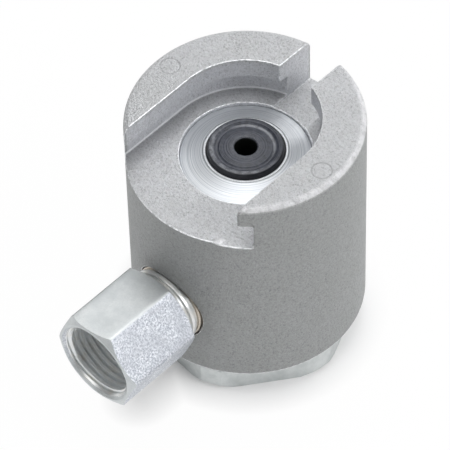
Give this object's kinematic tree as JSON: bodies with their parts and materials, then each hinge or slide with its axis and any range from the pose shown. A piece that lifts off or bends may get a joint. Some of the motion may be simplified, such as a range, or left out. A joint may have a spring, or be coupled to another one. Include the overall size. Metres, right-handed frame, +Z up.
{
  "type": "button head grease coupler",
  "caption": "Cylindrical pull-on grease coupler with an open T-slot head, a sprung piston with a rubber face seal, a hexagonal base plug and a threaded hexagonal side inlet.",
  "frame": {"origin": "middle of the end plug's bottom face, on the body's axis", "axes": "+Z up the body's axis towards the slotted head; the slot's open mouth and the inlet both face -Y"},
  "size_m": [0.032, 0.0457, 0.0388],
  "materials": {
    "cast_body": "blast-cleaned die casting",
    "plated_steel": "bright zinc plate",
    "turned_steel": "zinc plate over turning marks",
    "cup_steel": "satin",
    "plain_steel": "plain",
    "spring_steel": "oiled wire",
    "ball_steel": "polished",
    "washer_metal": "tinned copper",
    "seal_rubber": "moulded, semi-matt",
    "packing_rubber": "moulded",
    "fibre": "pressed fibre",
    "seat_plastic": "turned"
  },
  "bodies": {
    "housing": {"coupler_body": "cast_body", "end_plug": "plated_steel", "plug_gasket": "fibre", "spring_seat": "plain_steel", "piston_spring": "spring_steel", "inlet_adapter": "plated_steel", "inlet_washer": "washer_metal", "check_seat": "seat_plastic", "check_spring": "spring_steel", "check_retainer": "plain_steel"},
    "piston_group": {"piston": "turned_steel", "seal_cup": "cup_steel", "face_seal": "seal_rubber", "piston_packing": "packing_rubber", "packing_expander": "packing_rubber", "backup_washer": "plain_steel", "packing_snap_ring": "spring_steel"},
    "check_valve": {"check_ball": "ball_steel"}
  },
  "joints": [
    {"name": "piston_slide", "type": "slide", "parent": "housing", "child": "piston_group", "axis": [0, 0, -1], "range_m": [0, 0.0025], "stiffness_N_per_m": 2500, "springref_m": -0.003, "deforming": ["piston_spring"]},
    {"name": "check_lift", "type": "slide", "parent": "housing", "child": "check_valve", "axis": [0, 1, 0], "range_m": [0, 0.0008], "stiffness_N_per_m": 400, "springref_m": -0.0005, "deforming": ["check_spring"]}
  ]
}
